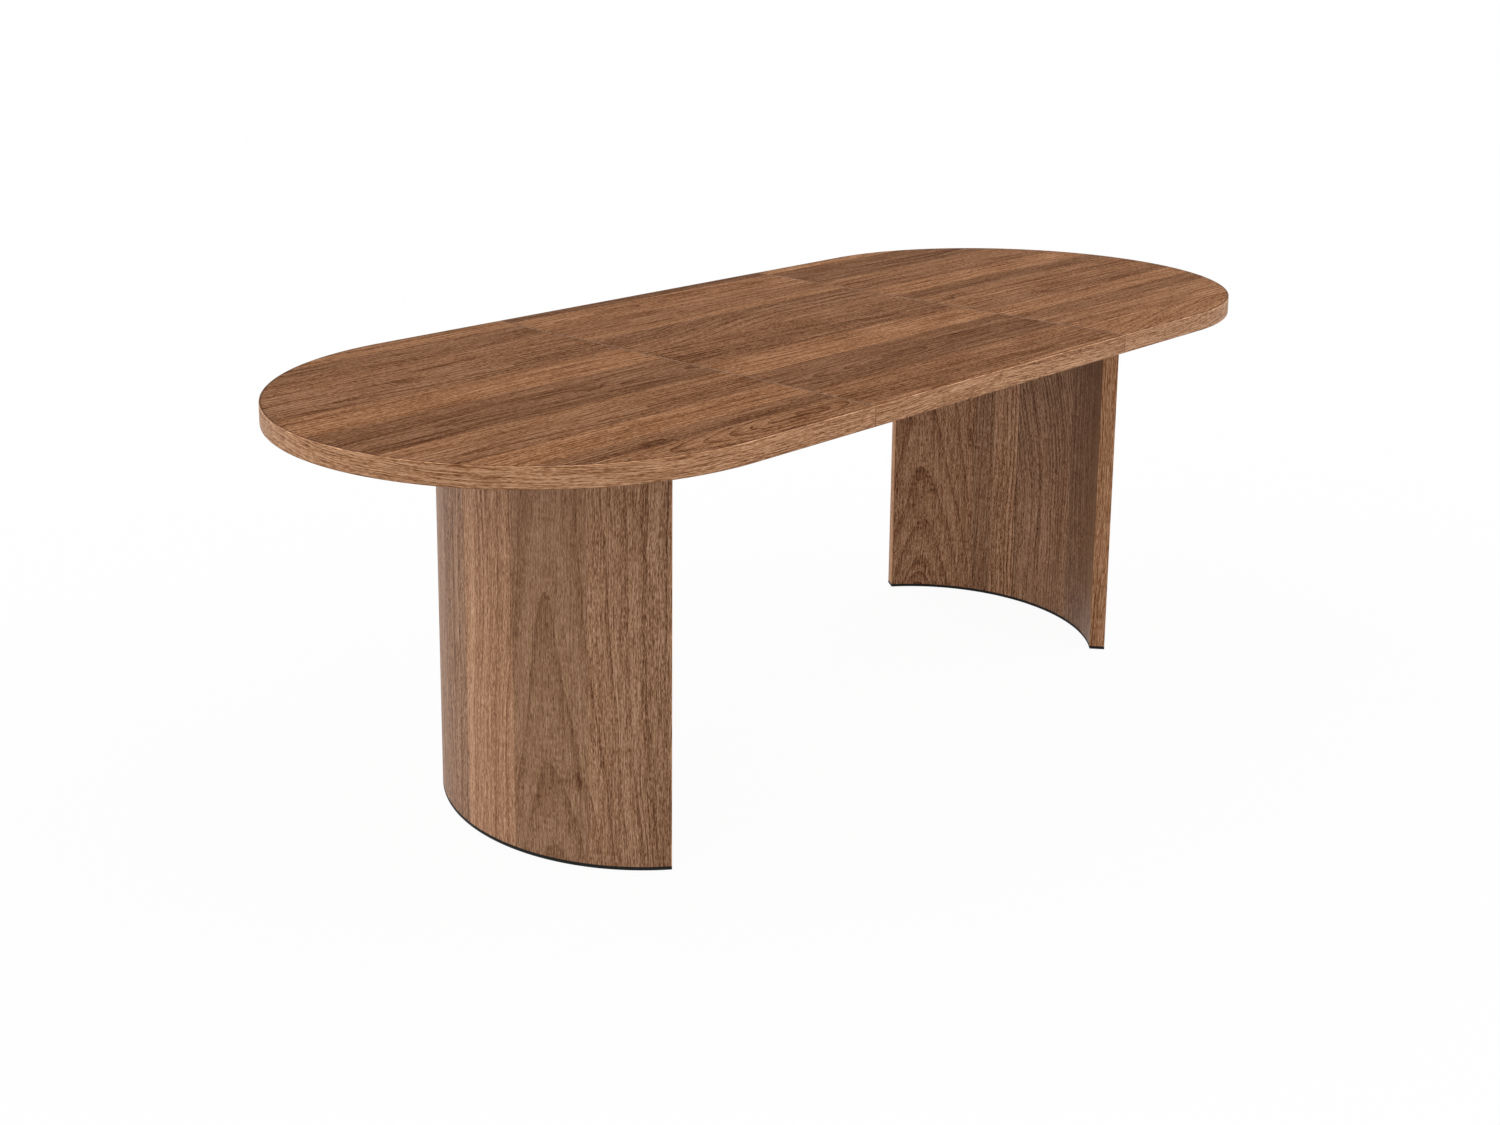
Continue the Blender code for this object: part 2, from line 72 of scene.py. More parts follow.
class Tone:
    """One socket of a material's nodes. Sums, products and powers of it add Math nodes."""

    def __init__(self, tree, socket=None):
        self.tree = tree
        self.socket = socket

    def node(self, kind, settings, sockets, output=0):
        """Adds a node, sets it up, fills or links its sockets and wraps one of its outputs."""
        made = self.tree.nodes.new("ShaderNode" + kind)
        for setting, value in settings.items():
            if setting == "stops":
                for _ in value[2:]:
                    made.color_ramp.elements.new(0.5)
                for element, (place, colour) in zip(made.color_ramp.elements, value):
                    element.position = place
                    element.color = (*colour, 1)
            else:
                setattr(made, setting, value)
        for key, value in sockets.items():
            if isinstance(value, Tone):
                self.tree.links.new(value.socket, made.inputs[key])
            else:
                made.inputs[key].default_value = value
        return Tone(self.tree, made.outputs[output])

    def math(self, operation, *values):
        """One Math node on numbers and sockets."""
        return self.node("Math", {"operation": operation}, dict(enumerate(values)))

    def __add__(self, other):
        return self.math("ADD", self, other)

    def __radd__(self, other):
        return self.math("ADD", other, self)

    def __sub__(self, other):
        return self.math("SUBTRACT", self, other)

    def __rsub__(self, other):
        return self.math("SUBTRACT", other, self)

    def __mul__(self, other):
        return self.math("MULTIPLY", self, other)

    def __rmul__(self, other):
        return self.math("MULTIPLY", other, self)

    def __truediv__(self, other):
        return self.math("DIVIDE", self, other)

    def __pow__(self, other):
        return self.math("POWER", self, other)

    def __rpow__(self, other):
        return self.math("POWER", other, self)

    def between(self, low, high):
        """0 below low and 1 above high, with a smooth rise."""
        settings = {"interpolation_type": "SMOOTHSTEP"}
        return self.node("MapRange", settings, {"Value": self, "From Min": low, "From Max": high})

    def blend(self, dark, light):
        """A colour between two, dark where this socket is 0 and light where it is 1."""
        return self.node("Mix", {"data_type": "RGBA"}, {0: self, 6: (*dark, 1), 7: (*light, 1)}, 2)

    def bump(self, strength, distance):
        """A normal that takes this socket as its height."""
        sockets = {"Height": self, "Strength": strength, "Distance": distance}
        return self.node("Bump", {}, sockets, "Normal")

    def noise(self, x, y, z=0.0, detail=1.0):
        """Smooth noise about 0, mostly within a third of it, at a place on a plane or in space."""
        place = self.node("CombineXYZ", {}, {0: x, 1: y, 2: z})
        settings = {"noise_dimensions": "3D" if isinstance(z, Tone) else "2D"}
        sockets = {"Vector": place, "Scale": 1.0, "Detail": detail}
        return self.node("TexNoise", settings, sockets) - 0.5


def new_finish(name):
    """A new material, kept by its name: its shader and an open end for its nodes."""
    material = bpy.data.materials.new(name)
    material.use_nodes = True
    FINISHES[name] = material
    return material.node_tree.nodes["Principled BSDF"], Tone(material.node_tree)


def feed(shader, **sockets):
    """Sets or links the shader's sockets, which are named with _ for a space."""
    for key, value in sockets.items():
        socket = shader.inputs[key.replace("_", " ")]
        if isinstance(value, Tone):
            value.tree.links.new(value.socket, socket)
        else:
            socket.default_value = value


# A board's figure: how far its pith line lies from its front edge as a share of its
# width, how fast it leans across the board, and how steeply it comes up to the face.
FIGURES = {
    "straight": (-2.6, 0.000, 0.02),
    "slant": (-1.4, 0.200, 0.02),
    "crown": (0.42, 0.000, 0.16),
    "bold crown": (0.68, 0.000, 0.25),
    "wide crown": (0.30, 0.000, 0.07),
    "flame": (0.475, 0.000, 0.32),
    "flame side": (1.490, 0.000, 0.32),
    "arch": (0.600, 0.000, 0.40),
    "half crown": (-0.15, 0.010, 0.06),
}
LEAN_EASE = 12.0


def lay_boards(start, boards):
    """Boards side by side. Each is given by its width, its shades at the front and back edge,
    its figure, its eye, which is the place along it where the pith comes up to the face, and
    its contrast."""
    widths, fronts, backs, figures, eyes, contrasts = zip(*boards)
    edges = start + np.concatenate([[0], np.cumsum(widths)])
    share, lean, slope = np.array([FIGURES[figure] for figure in figures]).T
    pith = edges[:-1] + np.array(widths) * share
    return edges, np.array([fronts, backs, pith, lean, eyes, slope, contrasts], float)


def board_values(boards, grain):
    """What the walnut reads at each corner of each face: the board's shade there, the way
    across to its pith line, the way along to its eye, how steeply the pith rises, and the
    board's contrast. The pith line's lean eases off away from the eye."""
    edges, traits = boards
    along, across, tint = np.moveaxis(grain, -1, 0)
    which = np.clip(np.searchsorted(edges, across.mean(1)) - 1, 0, len(edges) - 2)[:, None]
    front, back, pith, lean, eye, slope, contrast = traits[:, which]
    share = (across - edges[which]) / (edges[which + 1] - edges[which])
    shade = front + (back - front) * share + tint
    x = along - eye
    sway = lean * x / np.sqrt(1 + LEAN_EASE * x * x)
    return np.stack(np.broadcast_arrays(shade, across - pith - sway, x, slope, contrast), -1)


# The grain's scales, from broad drifts of colour to single pores: what a scale follows,
# and its cells per metre along the grain and across it.
GRAIN = (
    ("fibres", 0.6, 12.0),
    ("fibres", 1.0, 40.0),
    ("rings", 0.8, 110.0),
    ("pores", 6.0, 300.0),
    ("pores", 25.0, 420.0),
    ("pores", 80.0, 520.0),
    ("pores", 160.0, 700.0),
)

# The two scales in that list that roughen the face.
LONG_PORES = 3
SHORT_PORES = 4

# How the fibres wander: cells per metre along and across, and the way they go, in metres.
WANDER = ((1.3, 3.0, 0.05), (6.0, 14.0, 0.010))

# Single rings and broader bands of them: how many cross a metre, the cells per metre of the
# noise that shifts them, how far it does so, in rings, and the power that thins them to lines.
RINGS = (110.0, 1.5, 9.0, 2.0, 4.0)
BANDS = (42.0, 1.2, 7.0, 1.5, 3.0)
BAND_DEPTH = 0.45

# Where single rings show and where bands do: the cells per metre, along the board and across
# the rings, of the noise that picks between them, and its limits.
STRONG = (1.1, 16.0)
STRONG_LIMITS = (-0.20, 0.20)

# A ring line's depth on a board with a level pith, and what a steep pith adds to it.
PLAIN_DEPTH = 0.9
STEEP_DEPTH = 0.3
STEEP_LIMITS = (0.05, 0.25)

# The pith's own radius, and how its rise to the eye eases off along the board.
PITH = 0.00447
RISE_EASE = 8.0

# A knot: its length for its width, what is left of it one width off, how far it pushes the
# rings for its size, and how dark it is.
KNOT_LENGTH = 2.2
KNOT_FALL = 0.37
KNOT_PUSH = 0.6
KNOT_DEPTH = 0.45

# The streaks' cells per metre along and across.
STREAKS = (1.5, 160.0)

# A swing multiplies red, green and blue by the base to the power of swing times share. The
# ease takes from bright swings and adds to dark ones.
SWING_BASE = 2.72
SWING_SHARES = (0.82, 1.09, 1.38)
SWING_EASE = 0.40


def walnut(name, dark, light, gloss, lines, streaks, fine, strengths, knots=()):
    """Walnut, worked out on growth rings. A ring's number is the distance to the board's pith
    line, which rises to the face at the eye, so that the rings there show as nested arches.
    The board's shade picks its colour between dark and light. Noise stretched along the grain,
    one for each of its scales, a thin dark line at each ring and a few long streaks swing that
    colour, redder where it is darker and paler where it is lighter.

    Lines and streaks are their depths, strengths has one for each of the grain's scales, and
    fine is how many times closer than listed the pores lie."""
    shader, wood = new_finish(name)
    grain = wood.node("UVMap", {"uv_map": "grain"}, {})
    along, across = (wood.node("SeparateXYZ", {}, {0: grain}, axis) for axis in "XY")
    board = wood.node("Attribute", {"attribute_name": "board"}, {}, "Color")
    channels = ("Red", "Green", "Blue")
    shade, reach, x = (wood.node("SeparateColor", {}, {0: board}, channel) for channel in channels)
    slope = wood.node("Attribute", {"attribute_name": "board"}, {}, "Alpha")
    contrast = wood.node("Attribute", {"attribute_name": "contrast"}, {}, "Fac")

    for cells_along, cells_across, way in WANDER:
        reach = reach + wood.noise(x * cells_along, across * cells_across) * way
    rise = slope * x / (1 + x * x * RISE_EASE) ** 0.5
    ring = (reach * reach + rise * rise + PITH**2) ** 0.5
    swing = 0.0
    for knot_along, knot_across, size in knots:
        length_off = (along - knot_along) / (size * KNOT_LENGTH)
        width_off = (across - knot_across) / size
        swell = KNOT_FALL ** (length_off * length_off + width_off * width_off)
        ring = ring + swell * (size * KNOT_PUSH)
        swing = swing - swell * swell * KNOT_DEPTH

    paths = {"fibres": reach, "rings": ring, "pores": reach * fine}
    scales = [
        wood.noise(x * cells_along, paths[follows] * cells_across)
        for follows, cells_along, cells_across in GRAIN
    ]
    for scale, strength in zip(scales, strengths):
        swing = swing + scale * strength

    def late_wood(per_metre, cells_along, cells_across, shift, power):
        """0 where a ring begins and 1 where it ends, most of the rise being near its end."""
        shifted = ring * per_metre + wood.noise(x * cells_along, reach * cells_across) * shift
        return wood.math("FRACT", shifted) ** power

    strong = wood.noise(x * STRONG[0], ring * STRONG[1]).between(*STRONG_LIMITS)
    depth = lines * (PLAIN_DEPTH + slope.between(*STEEP_LIMITS) * STEEP_DEPTH)
    swing = swing - late_wood(*RINGS) * strong * depth
    swing = swing - late_wood(*BANDS) * (1 - strong) * (lines * BAND_DEPTH)
    streak = wood.noise(x * STREAKS[0], reach * STREAKS[1], detail=0.0)
    swing = (swing + streak * streak * streak * streaks) * contrast
    swing = swing - swing * swing * SWING_EASE
    gains = {channel: SWING_BASE ** (swing * share) for channel, share in enumerate(SWING_SHARES)}
    colours = {0: shade.blend(dark, light), 1: wood.node("CombineXYZ", {}, gains)}
    feed(
        shader,
        Base_Color=wood.node("VectorMath", {"operation": "MULTIPLY"}, colours),
        Roughness=0.50 - scales[LONG_PORES] * 0.15,
        Specular_IOR_Level=gloss,
        Normal=(scales[LONG_PORES] + scales[SHORT_PORES]).bump(strength=0.2, distance=0.0003),
    )


WELD = 1e-6
SHARP_BEND = math.radians(35)


def make_piece(name, patches, finish, body, node, boards=None):
    """Welds grids of points into one closed mesh, which rides on a body and stands for a node.

    A patch is (points, grain): points[i, j] is a place, and grain[i, j] says how far along
    and across the grain it lies and how much its shade is changed. The ends of a carried
    profile are closed with flat faces. Each face takes the board its middle falls on."""
    quads = []
    start = 0
    for points, _ in patches:
        rows, columns = points.shape[:2]
        index = start + np.arange(rows * columns).reshape(rows, columns)
        corners = [index[:-1, :-1], index[1:, :-1], index[1:, 1:], index[:-1, 1:]]
        quads.append(np.stack(corners, -1).reshape(-1, 4))
        start += rows * columns
    quads = np.concatenate(quads)
    points = np.concatenate([points.reshape(-1, 3) for points, _ in patches])
    grain = np.concatenate([grain.reshape(-1, 3) for _, grain in patches])[quads]
    mesh = bpy.data.meshes.new(name)
    mesh.from_pydata(points.tolist(), [], quads.tolist())
    lie = mesh.uv_layers.new(name="grain")
    lie.data.foreach_set("uv", grain[..., :2].astype(np.float32).ravel())
    if boards:
        values = board_values(boards, grain).astype(np.float32)
        board = mesh.attributes.new("board", "FLOAT_COLOR", "CORNER")
        board.data.foreach_set("color", values[..., :4].ravel())
        contrast = mesh.attributes.new("contrast", "FLOAT", "CORNER")
        contrast.data.foreach_set("value", values[..., 4].ravel())
    shape = bmesh.new()
    shape.from_mesh(mesh)
    bmesh.ops.remove_doubles(shape, verts=shape.verts, dist=WELD)
    open_edges = [edge for edge in shape.edges if edge.is_boundary]
    bmesh.ops.holes_fill(shape, edges=open_edges, sides=0)
    bmesh.ops.recalc_face_normals(shape, faces=shape.faces)
    shape.to_mesh(mesh)
    shape.free()
    mesh.shade_smooth()
    mesh.set_sharp_from_angle(angle=SHARP_BEND)
    mesh.materials.append(FINISHES[finish])
    piece = bpy.data.objects.new(name, mesh)
    bpy.context.scene.collection.objects.link(piece)
    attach(piece, body)
    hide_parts(node)


# The sheet's boards, from its front to its back, and how far back each section of the top
# is cut from it. Then its pin knots: along, across and size.
SHEET = lay_boards(
    -0.90,
    (
        (0.105, 0.60, 0.58, "slant", 0.60, 1.00),
        (0.105, 0.57, 0.54, "half crown", 1.30, 1.00),
        (0.060, 0.44, 0.43, "straight", 3.10, 1.00),
        (0.065, 0.61, 0.60, "straight", 5.30, 1.00),
        (0.060, 0.47, 0.44, "half crown", 0.64, 1.00),
        (0.120, 0.57, 0.49, "bold crown", -0.508, 1.00),
        (0.050, 0.31, 0.43, "straight", 7.70, 1.00),
        (0.080, 0.64, 0.62, "straight", 9.10, 1.05),
        (0.120, 0.42, 0.54, "wide crown", -0.64, 1.00),
        (0.147, 0.33, 0.38, "crown", -0.10, 0.90),
        (0.106, 0.65, 0.58, "straight", 2.20, 1.00),
        (0.144, 0.42, 0.47, "wide crown", -0.60, 1.15),
        (0.138, 0.49, 0.36, "slant", -0.15, 1.08),
        (0.065, 0.60, 0.48, "straight", 4.40, 1.00),
        (0.060, 0.46, 0.52, "straight", 6.60, 1.00),
        (0.100, 0.57, 0.58, "crown", -0.20, 1.00),
        (0.100, 0.27, 0.27, "straight", 8.80, 1.00),
    ),
)
ON_SHEET = {"left": 0.0, "leaf": 0.195, "right": -0.415}
TOP_KNOTS = (
    (-0.804, 0.192, 0.016),
    (-0.613, -0.061, 0.015),
    (-0.508, -0.423, 0.018),
    (-0.780, -0.373, 0.018),
    (-0.107, 0.506, 0.011),
    (0.180, 0.235, 0.010),
    (-0.365, 0.210, 0.016),
    (0.641, -0.529, 0.018),
    (0.472, -0.428, 0.014),
)
walnut(
    "walnut_top",
    dark=(0.072, 0.0280, 0.0157),
    light=(0.512, 0.2440, 0.1130),
    gloss=0.003,
    lines=0.85,
    streaks=7.0,
    fine=1.0,
    strengths=(0.20, 0.55, 0.45, 1.80, 1.20, 1.80, 1.60),
    knots=TOP_KNOTS,
)

# The glue joint behind the rim shows as a dark line: its width, its shade, and how many times
# its width it may take up along a row of the grid where the rim runs almost along that row.
JOINT = 0.0025
JOINT_SHADE = -0.35
LONGEST_JOINT = 12
BEND_STEPS = 121
RUN_STEPS = 33


def on_sheet(section, x, y, inset):
    """A section's places on the sheet, with the shade of the joint where the inset from the
    rim is less than the joint's width."""
    return np.stack([x, y + ON_SHEET[section], JOINT_SHADE * np.clip(1 - inset / JOINT, 0, 1)], -1)


def board_lines(section, low, high):
    """The places across a section where one board ends and the next begins."""
    lines = SHEET[0] - ON_SHEET[section]
    return lines[(lines > low) & (lines < high)]


def slab(x, y, grain, low, high):
    """A flat panel: one grid of places at its under side and its top, and a wall between
    them along each of the grid's four edges."""
    faces = [np.stack([x, y, np.full_like(x, z)], -1) for z in (low, high)]
    walls = []
    for edge in (np.s_[:, 0], np.s_[:, -1], np.s_[0, :], np.s_[-1, :]):
        walls.append((np.stack([face[edge] for face in faces], 1), np.stack([grain[edge]] * 2, 1)))
    return [(face, grain) for face in faces] + walls


def end_panel(side, turn):
    """Half a pill as a ruled grid: each row runs at one y from the seam out to the rim,
    which lies at the rim's centre plus the square root of radius squared less y squared."""
    low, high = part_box("right_end_top")
    radius = high.y
    centre = high.x - radius
    bends = radius * np.sin(np.linspace(-math.pi / 2, math.pi / 2, BEND_STEPS))
    y = np.unique(np.concatenate([bends, board_lines(side, -radius, radius)]))
    bulge = np.sqrt(np.maximum(radius**2 - y**2, 0))
    reach = (bulge + centre - low.x)[:, None]
    joint = JOINT * radius / np.maximum(bulge, radius / LONGEST_JOINT)[:, None]
    out = low.x + np.concatenate([(reach - joint) * np.linspace(0, 1, RUN_STEPS), reach], 1)
    y = np.repeat(y[:, None], out.shape[1], 1)
    inset = radius - np.hypot(np.maximum(out - centre, 0), y)
    return slab(turn * out, y, on_sheet(side, turn * out, y, inset), low.z, high.z)


for side, turn in SIDES:
    node = f"{side}_end_top"
    make_piece(f"{node}_panel", end_panel(side, turn), "walnut_top", f"{side}_end", node, SHEET)

# The edge strips are 2 mm walnut edging, glued round the rim and along the seams. Their
# outer arrises are rounded by hand, and the grain runs along the strip.
STRIP_THICK = 0.002
ARRIS = 0.0012
SEAM_ARRIS = 0.0004
GLUED_ARRIS = 0.0002
END_GAP = 0.0004
STRIP_RUN_STEPS = 6

# The shades round a strip's section: back, lower arris with painted shade, face, upper arris with a
# painted highlight, and top.
STRIP_BOARD = lay_boards(
    0,
    (
        (0.0358, 0.39, 0.39, "straight", 0.0, 1.00),
        # The lower arris: painted shade.
        (0.0020, 0.18, 0.18, "straight", 0.0, 1.00),
        (0.0326, 0.39, 0.39, "straight", 0.0, 1.00),
        # The upper arris: a painted highlight.
        (0.0014, 0.90, 0.90, "straight", 0.0, 1.00),
        (0.0182, 0.10, 0.10, "straight", 0.0, 1.00),
    ),
)
SEAM_BOARD = lay_boards(0, ((0.09, 0.22, 0.22, "straight", 0.0, 1.00),))

# Where along the edging a strip is cut, so that no two look alike: this many metres either
# way for the two ends, and for each metre from the table's middle at the seams.
END_CUT = 4
SEAM_CUT = 9
walnut(
    "walnut_strip",
    dark=(0.124, 0.0600, 0.0300),
    light=(0.680, 0.3420, 0.1690),
    gloss=0.07,
    lines=0.0,
    streaks=6.0,
    fine=1.6,
    strengths=(0.30, 0.20, 0.15, 1.60, 2.00, 2.00, 1.00),
)


def rounded(corners, radii, steps=4):
    """A polygon whose corners are arcs that touch both sides: each arc's centre lies on the
    corner's bisector at radius / sin(half the angle), and it runs from one side to the other."""
    corner = np.asarray(corners, float)
    radius = np.broadcast_to(np.asarray(radii, float), len(corner))[:, None]
    back = np.roll(corner, 1, 0) - corner
    ahead = np.roll(corner, -1, 0) - corner
    back /= np.linalg.norm(back, axis=1, keepdims=True)
    ahead /= np.linalg.norm(ahead, axis=1, keepdims=True)
    half = np.arccos(np.clip((back * ahead).sum(1), -1, 1))[:, None] / 2
    bisector = (back + ahead) / np.linalg.norm(back + ahead, axis=1, keepdims=True)
    centre = corner + bisector * radius / np.sin(half)
    first = corner + back * radius / np.tan(half) - centre
    last = corner + ahead * radius / np.tan(half) - centre
    share = np.linspace(0, 1, steps)[:, None, None]
    sweep = math.pi - 2 * half
    arc = (np.sin((1 - share) * sweep) * first + np.sin(share * sweep) * last) / np.sin(sweep)
    return (centre + arc).transpose(1, 0, 2).reshape(-1, 2)


def carry(profile, places, first, second, cut=0.0):
    """A closed profile carried along a path: place + a x first + b x second for its (a, b).
    The grain runs along the path from the cut, and across it is measured round the profile."""
    ring = np.vstack([profile, profile[:1]])
    points = places[:, None] + ring[:, :1] * first[:, None] + ring[:, 1:] * second[:, None]
    along = np.concatenate([[0], np.cumsum(np.linalg.norm(np.diff(places, axis=0), axis=1))])
    across = np.concatenate([[0], np.cumsum(np.linalg.norm(np.diff(ring, axis=0), axis=1))])
    return points, np.stack(np.meshgrid(along + cut, across, [0], indexing="ij"), -1)


def level_path(x, y, z, outward):
    """A path at one height, with its outward directions and straight up as its frame."""
    places = np.stack([x, y, np.full_like(x, z)], -1)
    first = np.concatenate([outward, np.zeros((len(x), 1))], 1)
    second = np.broadcast_to([0.0, 0.0, 1.0], first.shape)
    return places, first, second


def bent_path(turn, hub, radius, bearing, z):
    """A level path at one radius round hubs on the table's long axis: hub + radius x cos
    (bearing) along that axis, mirrored by turn, and radius x sin (bearing) across it."""
    outward = np.stack([turn * np.cos(bearing), np.sin(bearing)], 1)
    return level_path(turn * hub + radius * outward[:, 0], radius * outward[:, 1], z, outward)


def strip_profile(arris):
    """The strip's section: square against the panel, with rounded arrises outside."""
    half = (cad_box[1].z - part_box("leaf_top")[0].z) / 2
    corners = [(-STRIP_THICK, half), (-STRIP_THICK, -half), (0, -half), (0, half)]
    return rounded(corners, [GLUED_ARRIS, GLUED_ARRIS, arris, arris])


def make_strip(node, body, profile, path, cut, boards):
    """One strip: a profile carried along a path, cut from its own place along the edging."""
    patch = carry(profile, *path, cut)
    make_piece(f"{node}_band", [patch], "walnut_strip", body, node, boards)


for side, turn in SIDES:
    low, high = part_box("right_end_strip")
    radius = high.y
    centre = high.x - radius
    run = np.linspace(low.x + END_GAP, centre, STRIP_RUN_STEPS)[:-1]
    quarter = np.full_like(run, math.pi / 2)
    hub = np.concatenate([run, np.full(BEND_STEPS, centre), run[::-1]])
    bend = np.linspace(-math.pi / 2, math.pi / 2, BEND_STEPS)
    bearing = np.concatenate([-quarter, bend, quarter])
    path = bent_path(turn, hub, radius, bearing, (low.z + high.z) / 2)
    node = f"{side}_end_strip"
    make_strip(node, f"{side}_end", strip_profile(ARRIS), path, turn * END_CUT, STRIP_BOARD)

for node, body, out in (
    ("left_seam_strip", "left_end", 1.0),
    ("right_seam_strip", "right_end", -1.0),
    ("leaf_left_strip", "leaf", -1.0),
    ("leaf_right_strip", "leaf", 1.0),
):
    low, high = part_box(node)
    x = np.full(2, high.x if out > 0 else low.x)
    y = np.array([low.y, high.y])
    path = level_path(x, y, (low.z + high.z) / 2, np.array([[out, 0.0]] * 2))
    make_strip(node, body, strip_profile(SEAM_ARRIS), path, low.x * SEAM_CUT, SEAM_BOARD)

# The leaf is a third panel of the same build, which lies loose between the two ends, on
# four pegs. It is cut from another place on the sheet, so its boards break at the seams.
LEAF_CUT = 7
low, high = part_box("leaf_top")
lines = board_lines("leaf", low.y, high.y)
y = np.concatenate([[low.y, low.y + JOINT], lines, [high.y - JOINT, high.y]])
x, y = np.meshgrid(np.linspace(low.x, high.x, RUN_STEPS), y)
patches = slab(x, y, on_sheet("leaf", x, y, high.y - abs(y)), low.z, high.z)
make_piece("leaf_top_panel", patches, "walnut_top", "leaf", "leaf_top", SHEET)
for row, out in (("front", -1.0), ("back", 1.0)):
    node = f"leaf_{row}_strip"
    low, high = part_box(node)
    x = np.linspace(low.x + END_GAP, high.x - END_GAP, STRIP_RUN_STEPS)
    y = np.full_like(x, high.y if out > 0 else low.y)
    path = level_path(x, y, (low.z + high.z) / 2, np.array([[0.0, out]] * len(x)))
    make_strip(node, "leaf", strip_profile(ARRIS), path, out * LEAF_CUT, STRIP_BOARD)

# The legs are panels bent to an arc, faced with walnut boards that stand upright. Thin
# strips cover their two upright ends, and the head is fixed to the top.
LEG_RADIUS = 0.365
LEG_WALL = 0.031
LEG_INNER = LEG_RADIUS - LEG_WALL
LEG_BEND_STEPS = 97
LEG_RISE_STEPS = 13

# The boards round the outside of a leg, from its front end, and from INNER_FACE on those of
# its hollow side. Then the pin knots: height, place across and size.
INNER_FACE = 0.670
LEG_BOARDS = lay_boards(
    0,
    (
        (0.133, 0.37, 0.44, "flame side", -0.15, 0.98),
        (0.137, 0.35, 0.36, "flame", -0.15, 0.72),
        (0.120, 0.50, 0.57, "straight", 3.30, 0.76),
        (0.090, 0.37, 0.40, "straight", 5.20, 1.10),
        (0.190, 0.40, 0.40, "half crown", 0.90, 1.00),
        (0.165, 0.30, 0.30, "half crown", 7.40, 1.20),
        (0.158, 0.42, 0.39, "slant", 0.60, 1.18),
        (0.002, 0.12, 0.12, "straight", 0.00, 1.00),
        (0.058, 0.60, 0.54, "straight", 9.50, 1.18),
        (0.047, 0.38, 0.38, "straight", 6.10, 1.18),
        (0.184, 0.54, 0.60, "arch", -0.06, 1.14),
    ),
)
LEG_KNOTS = (
    (0.690, 0.198, 0.014),
    (0.150, 0.150, 0.012),
    (0.370, INNER_FACE + 0.437, 0.012),
)
walnut(
    "walnut_leg",
    dark=(0.075, 0.0382, 0.0203),
    light=(0.640, 0.3390, 0.1840),
    gloss=0.16,
    lines=1.20,
    streaks=4.0,
    fine=1.3,
    strengths=(0.30, 0.30, 0.60, 1.00, 1.60, 1.90, 1.80),
    knots=LEG_KNOTS,
)
END_BOARD = lay_boards(0, ((0.09, 0.45, 0.45, "straight", 0.0, 1.00),))
LEG_END_ARRIS = 0.0008
LEG_GLUED_ARRIS = 0.0001
LEG_END_CUT = 5
LEG_END_STEPS = 5


def bent_wall(turn, centre, half_angle, low, high):
    """The four faces of a bent panel: each side of its section, carried round the leg's centre.
    The grain runs up the panel, and across it is the arc's length from the front end."""
    lines = LEG_BOARDS[0]
    outer_lines = lines[lines < INNER_FACE] / LEG_RADIUS - half_angle
    inner_lines = (lines[lines >= INNER_FACE] - INNER_FACE) / LEG_INNER - half_angle
    smooth = np.linspace(-half_angle, half_angle, LEG_BEND_STEPS)
    bearing = np.unique(np.concatenate([smooth, outer_lines, inner_lines]))
    bearing = bearing[abs(bearing) <= half_angle][:, None]
    section = [(LEG_INNER, low), (LEG_RADIUS, low), (LEG_RADIUS, high), (LEG_INNER, high)]
    patches = []
    for (r0, z0), (r1, z1) in zip(section, section[1:] + section[:1]):
        share = np.linspace(0, 1, LEG_RISE_STEPS if r0 == r1 else 2)
        r = r0 + (r1 - r0) * share
        z = np.broadcast_to(z0 + (z1 - z0) * share, (len(bearing), len(share)))
        points = np.stack([turn * (centre + r * np.cos(bearing)), r * np.sin(bearing), z], -1)
        first_board = INNER_FACE if r0 == r1 == LEG_INNER else 0
        grain = np.stack([z, first_board + (bearing + half_angle) * r, 0 * z], -1)
        patches.append((points, grain))
    return patches


leg_low, leg_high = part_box("right_leg_panel")
leg_centre = leg_high.x - LEG_RADIUS
panel_bearing = math.asin(leg_high.y / LEG_RADIUS)
end_bearing = math.asin(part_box("right_foot_strip")[1].y / LEG_RADIUS)
leg_end = rounded(
    [(LEG_INNER, 0), (LEG_INNER, -STRIP_THICK), (LEG_RADIUS, -STRIP_THICK), (LEG_RADIUS, 0)],
    [LEG_END_ARRIS, LEG_GLUED_ARRIS, LEG_GLUED_ARRIS, LEG_END_ARRIS],
)
for side, turn in SIDES:
    body = f"{side}_end"
    node = f"{side}_leg_panel"
    patches = bent_wall(turn, leg_centre, panel_bearing, leg_low.z, leg_high.z)
    make_piece(f"{node}_skin", patches, "walnut_leg", body, node, LEG_BOARDS)
    for row, sign in (("front", -1), ("back", 1)):
        bearing = sign * end_bearing
        radial = np.array([turn * math.cos(bearing), math.sin(bearing), 0.0])
        onwards = sign * np.array([-turn * math.sin(bearing), math.cos(bearing), 0.0])
        z = np.linspace(leg_low.z, leg_high.z, LEG_END_STEPS)
        places = np.stack([np.full_like(z, turn * leg_centre), np.zeros_like(z), z], -1)
        path = (places, np.broadcast_to(radial, places.shape), np.broadcast_to(onwards, places.shape))
        make_strip(f"{side}_leg_{row}_strip", body, leg_end, path, sign * turn * LEG_END_CUT, END_BOARD)

